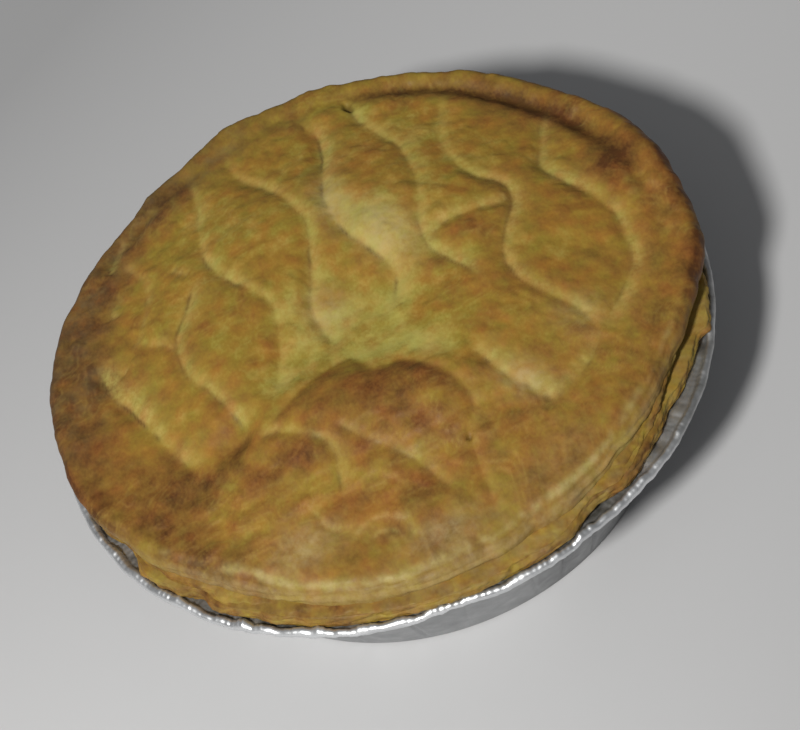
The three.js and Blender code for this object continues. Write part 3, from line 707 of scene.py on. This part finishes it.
def build_lid_side():
    def top(phi):
        R, w, hh = rim_shape(phi)
        lift = 2.0 * np.exp(-((off_deg(phi, 7) / 14) ** 2))
        return EDGE_Z + EDGE_TILT_Y * np.sin(phi) + EDGE_TILT_X * np.cos(phi) - 1.3 * hh + 0.5 + lift

    def r_top(phi):
        R, w, hh = rim_shape(phi)
        return R - 1.3 + 0.95 * front_side(phi)

    def r_bottom(phi):
        f = front_side(phi)
        under = ss(26, 14, np.abs(off_deg(phi, -24)))
        r = np.minimum(lid_radius(phi) - 1.5 - 0.7 * under, crust_rim_radius(phi) + 0.2)
        return r + (crust_rim_radius(phi) - 0.9 - r) * f * (1 - under)

    def bottom(phi):
        return np.full(phi.shape, 29.2)

    return build_side("lid_layers", top, bottom, r_top, r_bottom, 1560, 40, 2.1, 101)


def build_crust_side():
    def top(phi):
        return np.full(phi.shape, CRUST_RIM_Z + 0.1)

    def r_top(phi):
        return crust_rim_radius(phi) - 0.7

    def r_bottom(phi):
        return crust_rim_radius(phi) - 0.7

    def bottom(phi):
        return TRAY_H + 0.5 + 0.9 * tongue(phi)

    return build_side("crust_layers", top, bottom, r_top, r_bottom, 1560, 26, 1.6, 202, inner=12.0)


def build_crust_body():
    """The hidden lower crust and filling inside the tray."""
    steps = 160
    prof = []
    for r, z in ((0.01, 0.9), (44.5, 0.9), (45.6, 2.0), (50.5, 13.5), (55.8, 25.4), (56.4, 26.6), (57.0, 28.9), (40.0, 31.0), (0.01, 31.0)):
        prof.append((r, z))
    phi = np.arange(steps) * TAU / steps
    P = np.stack([np.stack([r * np.cos(phi), r * np.sin(phi), np.full(steps, z)], -1) for r, z in prof], 1)
    faces = []
    count = len(prof)
    k = np.arange(steps)[:, None]
    j = np.arange(count - 1)[None, :]
    a = k * count + j
    b = ((k + 1) % steps) * count + j
    faces = np.stack([a, b, b + 1, a + 1], -1).reshape(-1, 4)
    ob = new_mesh("crust_body", P.reshape(-1, 3), faces)
    paint(ob, "bake", np.full((steps * count, 3), 0.4))
    return ob


# --------------------------------------------------------------------- foil tray
# upright creases pressed into the tray's wall: azimuth, depth, slant
WALL_CREASES = [(-66.0, 1.0, 1.5), (-72.5, 0.7, -1.0), (-82.0, 0.6, 2.0), (-94.0, 0.3, -2.5), (-107.0, 0.8, 1.0)]
WALL_CREASES += [
    (-121.0 - 13.7 * k + 3.9 * math.sin(7.3 * k), 0.55 + 0.35 * math.sin(4.1 * k + 1), 2.5 * math.sin(5.7 * k))
    for k in range(21)
]


# stretches of the bead pressed into broader, flatter facets: azimuth, half width, size (mm)
BEAD_KNOCKS = ((-170.6, 0.9, 0.20), (-146.0, 2.4, 0.26), (-131.8, 1.5, 0.24), (-117.5, 2.0, 0.24), (-98.7, 1.6, 0.16), (-87.3, 1.8, 0.18), (-71.0, 1.5, 0.14))


def build_foil():
    pleats = 326
    per = 5
    steps = pleats * per
    phi = np.arange(steps) * TAU / steps
    skin = 0.16
    C3, S3 = np.cos(phi) * 62, np.sin(phi) * 62
    # every pleat has its own height, lean and tightness
    idx = np.floor(phi / TAU * pleats)
    own = noise3(idx * 3.7, 0.3, 0.1, 301)
    lean = noise3(idx * 5.1, 2.3, 0.1, 308)
    loose = noise3(C3 / 4.5, S3 / 4.5, 0, 309)
    crimp = np.cos(phi * pleats + 2.2 * noise3(C3 / 4, S3 / 4, 3, 310)) * np.clip(0.55 + 0.55 * own + 0.65 * loose, 0.05, 1.6)
    # the right side was rubbed flatter: longer, softer dents instead of pleats
    rubbed = ss(-74, -60, np.degrees(np.angle(np.exp(1j * phi)))) * ss(40, 20, np.degrees(np.angle(np.exp(1j * phi))))
    crimp = crimp * (1 - 0.6 * rubbed)
    wave = 0.30 * noise3(C3 / 9, S3 / 9, 0, 302) + 0.20 * noise3(C3 / 2.6, S3 / 2.6, 0, 303)
    dent = rim_dent(phi)
    give = 0.8 * np.minimum(dent, 0) + 0.15 * np.maximum(dent, 0)  # how far the wall's mouth follows
    rows = []  # (r, z) along the outer skin, bottom centre to bead, each (steps,)

    def row(r, z):
        rows.append((np.broadcast_to(r, steps).astype(float), np.broadcast_to(z, steps).astype(float)))

    wall_n = 12

    def wall_r(z):
        return TRAY_BASE_R + (TRAY_MOUTH_R - TRAY_BASE_R) * (z - TRAY_CORNER) / (TRAY_H - 1 - TRAY_CORNER)

    # base with a faint pressed ring
    for r, z in ((0.02, 0.35), (0.6, 0.35), (38.0, 0.35), (40.5, 0.30), (42.0, 0.0), (44.2, 0.0), (45.6, 0.12)):
        row(r, z)
    row(TRAY_BASE_R - 0.25, 0.55)
    for k in range(wall_n):
        t = k / (wall_n - 1)
        z = TRAY_CORNER + (TRAY_H - 1.0 - TRAY_CORNER) * t
        # soft upright folds, sharper near the mouth, and the pressed-in creases
        fold = 0.10 * noise3(C3 / 2.2, S3 / 2.2, z / 16, 305) + 0.20 * noise3(C3 / 6.5, S3 / 6.5, z / 14, 306)
        crease = 0.0
        for at, deep, slant in WALL_CREASES:
            d = off_deg(phi, at + slant * (1 - t)) / 0.42
            crease = crease - 0.75 * deep * np.exp(-(d**2)) + 0.25 * deep * np.exp(-(((d - 2.2) / 1.3) ** 2))
        fine = 0.06 * crimp * ss(0.8, 1.0, t)
        env = ss(0, 0.08, t) * (1 - 0.5 * ss(0.93, 1, t))
        row(wall_r(z) + give * ss(0.3, 1.0, t) + (fold + crease * (0.45 + 0.55 * t)) * env + fine, z)
    up = 0.055 * crimp + 0.13 * noise3(C3 / 1.5, S3 / 1.5, 8, 316)
    roll = noise3(C3 / 3.1, S3 / 3.1, 5, 314)
    knocked = ss(-58, -70, np.degrees(np.angle(np.exp(1j * phi))))
    fat = 0.10 * ss(-112, -130, off_deg(phi, 0)) * ss(-182, -172, off_deg(phi, 0))
    knock = sum(size * np.exp(-((off_deg(phi, at) / half) ** 4)) for at, half, size in BEAD_KNOCKS)
    knock = knock * (1 + 0.5 * own)
    bead_r = FOIL_BEAD_R + fat + knock + 0.03 * own + 0.025 * crimp + (0.10 + 0.08 * rubbed + 0.10 * knocked) * roll
    bead_c_r = TRAY_R + dent - bead_r - 0.03 - 0.10 * (1 + noise3(C3 / 6, S3 / 6, 1, 311)) - 0.05 * (1 + lean)
    bead_z = TRAY_H + 0.22 - 0.35 * knock + wave + 0.05 * crimp + 0.05 * lean + (0.20 + 0.10 * knocked) * noise3(C3 / 1.7, S3 / 1.7, 5, 315) + (0.16 + 0.16 * rubbed) * noise3(C3 / 4.5, S3 / 4.5, 6, 317)
    flange_end = bead_c_r - 0.92 * bead_r
    for t in np.linspace(0, 1, 8):
        r = TRAY_MOUTH_R + give + 0.25 + (flange_end - TRAY_MOUTH_R - give - 0.25) * t
        rise = ss(0, 0.3, t)
        z = TRAY_H - 0.45 * (1 - rise) + up * ss(-0.1, 0.35, t) * (1 - 0.3 * ss(0.8, 1, t)) + wave * rise
        row(r, z)
    rows_out = rows
    # the bead: a small roll whose size wobbles with the pleats
    bead = []
    for ang in np.radians([150, 118, 86, 54, 22, -10, -45, -80, -115, -150, -185]):
        bead.append((bead_c_r + bead_r * np.cos(ang), bead_z + bead_r * np.sin(ang)))
    # inner skin: the outer skin's points moved inwards by the foil's thickness
    A = np.array([[r, z] for r, z in rows_out])  # (rows, 2, steps)
    tang = np.gradient(A, axis=0)
    ln = np.hypot(tang[:, 0], tang[:, 1])
    nrm = np.stack([-tang[:, 1] / ln, tang[:, 0] / ln], 1)
    inner = A + nrm * skin
    inner[0, 0] = A[0, 0]
    inner = np.delete(inner, (1, 2, 5, 6), 0)  # the covered base needs fewer rows inside
    # section: outer skin from the axis out, round the bead, back along the inner skin
    under_bead = np.array([[r, z] for r, z in bead])[::-1]
    section = np.concatenate([A, under_bead[1:-1], inner[::-1]], 0)  # (count, 2, steps)
    count = section.shape[0]
    P = np.empty((steps, count, 3))
    P[..., 0] = section[:, 0, :].T * np.cos(phi)[:, None]
    P[..., 1] = section[:, 0, :].T * np.sin(phi)[:, None]
    P[..., 2] = section[:, 1, :].T
    k = np.arange(steps)[:, None]
    j = np.arange(count)[None, :]
    a = k * count + j
    b = ((k + 1) % steps) * count + j
    c = ((k + 1) % steps) * count + (j + 1) % count
    d = k * count + (j + 1) % count
    faces = np.stack([a, b, c, d], -1).reshape(-1, 4)
    ob = new_mesh("foil_tray_skin", P.reshape(-1, 3), faces)
    # painted shade darkens the flange beside the crust, in patches, in place of the dark surroundings it reflects;
    # the wall gets a darker colour than the rolled rim, painted shade for the shaded floor it reflects
    rad = np.hypot(P[..., 0], P[..., 1])
    patch = 0.75 + 0.45 * noise3(P[..., 0] / 3.0, P[..., 1] / 3.0, 0, 312) + 0.3 * noise3(P[..., 0] / 0.9, P[..., 1] / 0.9, 0, 313)
    az = off_deg(np.arctan2(P[..., 1], P[..., 0]), 0)
    # less painted shade in two stretches, at the front right and the front left
    less_shade = np.maximum(ss(-66, -54, az) * ss(-20, -36, az), ss(-178, -170, az) * ss(-130, -142, az))
    foil_shade = ss(61.3, 60.3, rad) * ss(TRAY_H - 1.2, TRAY_H - 0.5, P[..., 2]) * np.clip(patch * (1 - 0.35 * less_shade), 0, 1)
    # painted shade on the bead too, round the right and back, where the pie shades it
    bead_shade = ss(-62, -40, az) * ss(150, 110, az) * ss(TRAY_H - 1.0, TRAY_H - 0.2, P[..., 2])
    foil_shade = np.maximum(foil_shade, bead_shade * np.clip(0.20 + 0.36 * patch, 0, 1))
    # painted shade in the sharp upright creases of the wall
    up_wall = np.clip((P[..., 2] - TRAY_CORNER) / (TRAY_H - 1 - TRAY_CORNER), 0, 1)
    crease_shade = sum(deep * np.exp(-(((az - at - slant * (1 - up_wall)) / 0.45) ** 2)) for at, deep, slant in WALL_CREASES if at > -180)
    foil_shade = np.maximum(foil_shade, np.clip(crease_shade, 0, 1) * ss(0.25, 0.8, up_wall) * ss(TRAY_H - 0.3, TRAY_H - 0.9, P[..., 2]))
    # the wall below the rim gets painted shade, slightly less at the front and left
    wall_shade = ss(TRAY_H - 0.6, TRAY_H - 1.6, P[..., 2]) * (0.80 + 0.20 * ss(-84, -74, az))
    col = np.zeros((steps * count, 3))
    col[:, 0] = np.clip(foil_shade, 0, 1).ravel()
    col[:, 1] = wall_shade.ravel()
    paint(ob, "foil_shade", col)
    return ob


# --------------------------------------------------------------------- materials
class Nodes:
    def __init__(self, name):
        self.mat = bpy.data.materials.new(name)
        self.mat.use_nodes = True
        self.t = self.mat.node_tree
        self.t.nodes.clear()
        self.out = self.t.nodes.new("ShaderNodeOutputMaterial")
        self.bsdf = self.t.nodes.new("ShaderNodeBsdfPrincipled")
        self.t.links.new(self.bsdf.outputs[0], self.out.inputs[0])
        self.coord = self.t.nodes.new("ShaderNodeTexCoord").outputs["Object"]

    def link(self, a, b):
        self.t.links.new(a, b)
        return b

    def put(self, socket, value):
        if isinstance(value, bpy.types.NodeSocket):
            self.t.links.new(value, socket)
        elif value is not None:
            socket.default_value = value

    def noise(self, scale, detail=4.0, rough=0.5, vector=None, distortion=0.0):
        n = self.t.nodes.new("ShaderNodeTexNoise")
        self.put(n.inputs["Vector"], vector or self.coord)
        n.inputs["Scale"].default_value = scale
        n.inputs["Detail"].default_value = detail
        n.inputs["Roughness"].default_value = rough
        n.inputs["Distortion"].default_value = distortion
        return n.outputs["Fac"]

    def voronoi(self, scale, feature="F1", vector=None):
        n = self.t.nodes.new("ShaderNodeTexVoronoi")
        n.feature = feature
        self.put(n.inputs["Vector"], vector or self.coord)
        n.inputs["Scale"].default_value = scale
        return n.outputs["Distance"]

    def mapping(self, scale, vector=None):
        n = self.t.nodes.new("ShaderNodeMapping")
        self.put(n.inputs["Vector"], vector or self.coord)
        n.inputs["Scale"].default_value = scale
        return n.outputs[0]

    def math(self, op, a, b=None, c=None, clamp=False):
        n = self.t.nodes.new("ShaderNodeMath")
        n.operation = op
        n.use_clamp = clamp
        self.put(n.inputs[0], a)
        self.put(n.inputs[1], b)
        self.put(n.inputs[2], c)
        return n.outputs[0]

    def remap(self, v, a, b, lo=0.0, hi=1.0):
        n = self.t.nodes.new("ShaderNodeMapRange")
        self.put(n.inputs["Value"], v)
        for key, val in (("From Min", a), ("From Max", b), ("To Min", lo), ("To Max", hi)):
            n.inputs[key].default_value = val
        return n.outputs[0]

    def mix(self, fac, a, b, blend="MIX"):
        n = self.t.nodes.new("ShaderNodeMix")
        n.data_type = "RGBA"
        n.blend_type = blend
        self.put(n.inputs[0], fac)
        self.put(n.inputs[6], a)
        self.put(n.inputs[7], b)
        return n.outputs[2]

    def ramp(self, fac, stops):
        n = self.t.nodes.new("ShaderNodeValToRGB")
        el = n.color_ramp.elements
        while len(el) > 1:
            el.remove(el[-1])
        for k, (pos, col) in enumerate(stops):
            e = el[0] if k == 0 else el.new(pos)
            e.position = pos
            e.color = (*col, 1)
        self.put(n.inputs[0], fac)
        return n.outputs[0]

    def attr(self, name):
        n = self.t.nodes.new("ShaderNodeAttribute")
        n.attribute_name = name
        s = self.t.nodes.new("ShaderNodeSeparateColor")
        self.t.links.new(n.outputs["Color"], s.inputs[0])
        return s.outputs

    def bump(self, height, strength, distance, normal=None):
        n = self.t.nodes.new("ShaderNodeBump")
        self.put(n.inputs["Height"], height)
        n.inputs["Strength"].default_value = strength
        n.inputs["Distance"].default_value = distance
        self.put(n.inputs["Normal"], normal)
        return n.outputs[0]


BAKE_RAMP = [
    (0.00, (0.480, 0.377, 0.102)),
    (0.22, (0.400, 0.280, 0.061)),
    (0.45, (0.315, 0.188, 0.030)),
    (0.66, (0.252, 0.130, 0.026)),
    (0.84, (0.178, 0.081, 0.019)),
    (1.00, (0.095, 0.038, 0.011)),
]
PALE = (0.455, 0.353, 0.104, 1.0)
CREAM = (0.440, 0.337, 0.158, 1.0)
ASH_AND_SHADE = (0.150, 0.112, 0.052, 1.0)
CREASE_SHADE = (0.100, 0.052, 0.015, 1.0)


def pastry_material(name, layered=False):
    m = Nodes(name)
    m.bsdf.inputs["Specular IOR Level"].default_value = 0.21
    brown, pale, crease = m.attr("bake")[:3]
    red, ash_and_shade, cream = m.attr("tint")[:3]
    skew = m.mapping((1.15, 0.87, 1.0))
    mottle = m.remap(m.noise(430, 3, 0.5, vector=skew), 0.3, 0.7, -0.065, 0.065)
    speck = m.remap(m.noise(1500, 2, 0.5, vector=skew), 0.35, 0.65, -0.045, 0.045)
    b = m.math("ADD", m.math("ADD", brown, mottle), speck, clamp=True)
    col = m.ramp(b, BAKE_RAMP)
    pn = m.remap(m.noise(1300, 4, 0.6), 0.35, 0.62, 0.45, 1.0)
    col = m.mix(m.math("MULTIPLY", m.math("MULTIPLY", pale, pn), 0.78, clamp=True), col, PALE)
    # darkest colour: painted shade in cuts, pits and splits between layers
    col = m.mix(m.math("MULTIPLY", crease, 0.75, clamp=True), col, CREASE_SHADE)
    # redder where the glaze took, greener straw where it did not
    shift = m.math("ADD", red, m.remap(m.noise(400, 3, 0.5, vector=skew), 0.3, 0.7, -0.22, 0.22), clamp=True)
    warm = m.mix(1.0, col, (1.08, 0.86, 0.86, 1.0), "MULTIPLY")
    cool = m.mix(1.0, col, (0.90, 1.04, 0.90, 1.0), "MULTIPLY")
    col = m.mix(shift, cool, warm)
    straw = m.remap(b, 0.05, 0.35, 0.35, 0.0)
    col = m.mix(straw, col, (0.44, 0.385, 0.098, 1.0))
    cream_tone = m.math("MULTIPLY", cream, m.remap(m.noise(600, 4, 0.6), 0.35, 0.65, 0.25, 0.75), clamp=True)
    col = m.mix(cream_tone, col, (0.265, 0.195, 0.082, 1.0) if layered else CREAM)
    # darker, greyer far left rim: browner baking with painted shade
    ash_tone = m.math("MULTIPLY", ash_and_shade, m.remap(m.noise(420, 4, 0.6), 0.35, 0.65, 0.20, 0.62), clamp=True)
    col = m.mix(ash_tone, col, ASH_AND_SHADE)
    m.link(col, m.bsdf.inputs["Base Color"])
    rough = m.remap(m.noise(700, 4, 0.6), 0.3, 0.7, 0.46, 0.68)
    m.link(rough, m.bsdf.inputs["Roughness"])
    crust = m.noise(480, 4, 0.55, vector=m.mapping((1.0, 1.0, 2.2)) if layered else m.mapping((1.2, 0.85, 1.0)))
    beads = m.remap(m.voronoi(900, "SMOOTH_F1"), 0.1, 0.75, 1.0, 0.0)
    fine = m.noise(3000, 4, 0.6)
    n1 = m.bump(crust, 0.17, 0.00045)
    n2 = m.bump(beads, 0.16, 0.00016, n1)
    n3 = m.bump(fine, 0.16, 0.00008, n2)
    m.link(n3, m.bsdf.inputs["Normal"])
    return m.mat


def foil_material():
    m = Nodes("foil")
    m.bsdf.inputs["Metallic"].default_value = 0.88
    foil_shade, wall_shade = m.attr("foil_shade")[:2]
    bright = m.mix(m.remap(m.noise(160, 3, 0.5), 0.35, 0.65, 0, 1), (0.82, 0.83, 0.84, 1), (0.68, 0.69, 0.70, 1))
    # darker wall colour: painted shade
    wall = m.mix(m.remap(m.noise(260, 4, 0.6), 0.35, 0.65, 0, 1), (0.24, 0.243, 0.247, 1), (0.19, 0.193, 0.197, 1))
    col = m.mix(wall_shade, bright, wall)
    # colour of the painted shade on flange, bead and wall creases
    shade_colour = m.mix(m.remap(m.noise(900, 3, 0.6), 0.35, 0.65, 0, 1), (0.11, 0.107, 0.085, 1), (0.25, 0.25, 0.23, 1))
    col = m.mix(foil_shade, col, shade_colour)
    m.link(col, m.bsdf.inputs["Base Color"])
    rough = m.math("ADD", m.remap(m.noise(300, 4, 0.6), 0.3, 0.7, 0.30, 0.50), m.math("MULTIPLY", foil_shade, 0.16), clamp=True)
    m.link(rough, m.bsdf.inputs["Roughness"])
    crinkle = m.noise(330, 4, 0.55)
    fine = m.noise(1800, 3, 0.6)
    m.link(m.bump(fine, 0.12, 0.00008, m.bump(crinkle, 0.30, 0.0005)), m.bsdf.inputs["Normal"])
    return m.mat


def floor_material():
    m = Nodes("floor")
    m.bsdf.inputs["Specular IOR Level"].default_value = 0.25
    sep = m.t.nodes.new("ShaderNodeSeparateXYZ")
    m.link(m.coord, sep.inputs[0])
    # painted light falloff across the table top, darker away and to the sides, most at the far left: u to the right, v
    # away
    X, Y = sep.outputs[0], sep.outputs[1]
    u = m.math("SUBTRACT", m.math("MULTIPLY", X, 0.914), m.math("MULTIPLY", Y, 0.296))
    v = m.math("ADD", m.math("MULTIPLY", X, 0.407), m.math("MULTIPLY", Y, 0.664))
    slope = m.math("SUBTRACT", 0.84, m.math("MULTIPLY", u, 10.5))
    u1 = m.math("ADD", u, 0.012)
    level = m.math("SUBTRACT", 0.582, m.math("MULTIPLY", m.math("MULTIPLY", u1, u1), 8.7))
    level = m.math("SUBTRACT", level, m.math("MULTIPLY", slope, v))
    level = m.remap(m.math("MINIMUM", m.math("MAXIMUM", level, 0.38), 0.66), 0.38, 0.66, 0, 1)
    col = m.mix(level, (0.38, 0.38, 0.383, 1), (0.66, 0.66, 0.663, 1))
    col = m.mix(m.remap(m.noise(9, 3, 0.5), 0.35, 0.65, 0, 0.10), col, (0.5, 0.5, 0.505, 1))
    m.link(col, m.bsdf.inputs["Base Color"])
    m.bsdf.inputs["Roughness"].default_value = 0.6
    return m.mat


# ------------------------------------------------------------------------ set-up
PASTRY = pastry_material("pastry_glazed")
LAYERS = pastry_material("pastry_layers", layered=True)
FOIL = foil_material()

lid = build_lid()
lid.data.materials.append(PASTRY)
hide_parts("pastry_lid")
lid_side = build_lid_side()
lid_side.data.materials.append(LAYERS)
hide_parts("pastry_lid")

crust_side = build_crust_side()
crust_side.data.materials.append(LAYERS)
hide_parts("crust_base")
crust_body = build_crust_body()
crust_body.data.materials.append(LAYERS)
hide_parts("crust_base")

foil = build_foil()
foil.data.materials.append(FOIL)
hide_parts("foil_tray")

# floor
fm = bpy.data.meshes.new("floor")
fm.from_pydata([(-3, -3, -0.0001), (3, -3, -0.0001), (3, 3, -0.0001), (-3, 3, -0.0001)], [], [(0, 1, 2, 3)])
floor = bpy.data.objects.new("floor", fm)
bpy.context.scene.collection.objects.link(floor)
fm.materials.append(floor_material())


def area(name, direction, distance, size, power, colour=(1, 1, 1), target=(0, 0, 0.03)):
    d = Vector(direction).normalized()
    L = bpy.data.lights.new(name, "AREA")
    L.shape = "DISK"
    L.size = size
    L.energy = power
    L.color = colour
    o = bpy.data.objects.new(name, L)
    o.location = Vector(target) + d * distance
    o.rotation_mode = "QUATERNION"
    o.rotation_quaternion = (-d).to_track_quat("-Z", "Y")
    bpy.context.scene.collection.objects.link(o)
    return o


area("key", (-0.378, -0.610, 0.697), 2.2, 0.27, 48.4, (1.0, 0.99, 0.97))
area("fill", (-0.18, -0.62, 0.72), 1.3, 1.5, 1.25)

world = bpy.data.worlds.new("soft")
bpy.context.scene.world = world
world.use_nodes = True
bg = world.node_tree.nodes["Background"]
bg.inputs[0].default_value = (0.95, 0.97, 1.0, 1)
bg.inputs[1].default_value = 0.135

# camera
ELEV, ROLL, DIST, FOCAL_PX, TX, TY = 46.654, 23.962, 0.5, 2723.134, 0.002173, -0.004089
e, rl = math.radians(ELEV), math.radians(ROLL)
fwd = Vector((0, math.cos(e), -math.sin(e)))
right = Vector((1, 0, 0))
up = right.cross(fwd)
R_ = math.cos(rl) * right - math.sin(rl) * up
U_ = math.sin(rl) * right + math.cos(rl) * up
cam_data = bpy.data.cameras.new("camera")
cam_data.sensor_fit = "HORIZONTAL"
cam_data.sensor_width = 36.0
cam_data.lens = 36.0 * FOCAL_PX / 800.0
cam_data.clip_start = 0.01
cam_data.clip_end = 20
cam = bpy.data.objects.new("camera", cam_data)
pos = Vector((TX, TY, 0.026)) - fwd * DIST
rot = Matrix((R_, U_, -fwd)).transposed().to_4x4()
cam.matrix_world = Matrix.Translation(pos) @ rot
bpy.context.scene.collection.objects.link(cam)
bpy.context.scene.camera = cam
bpy.context.scene.view_settings.view_transform = "Standard"
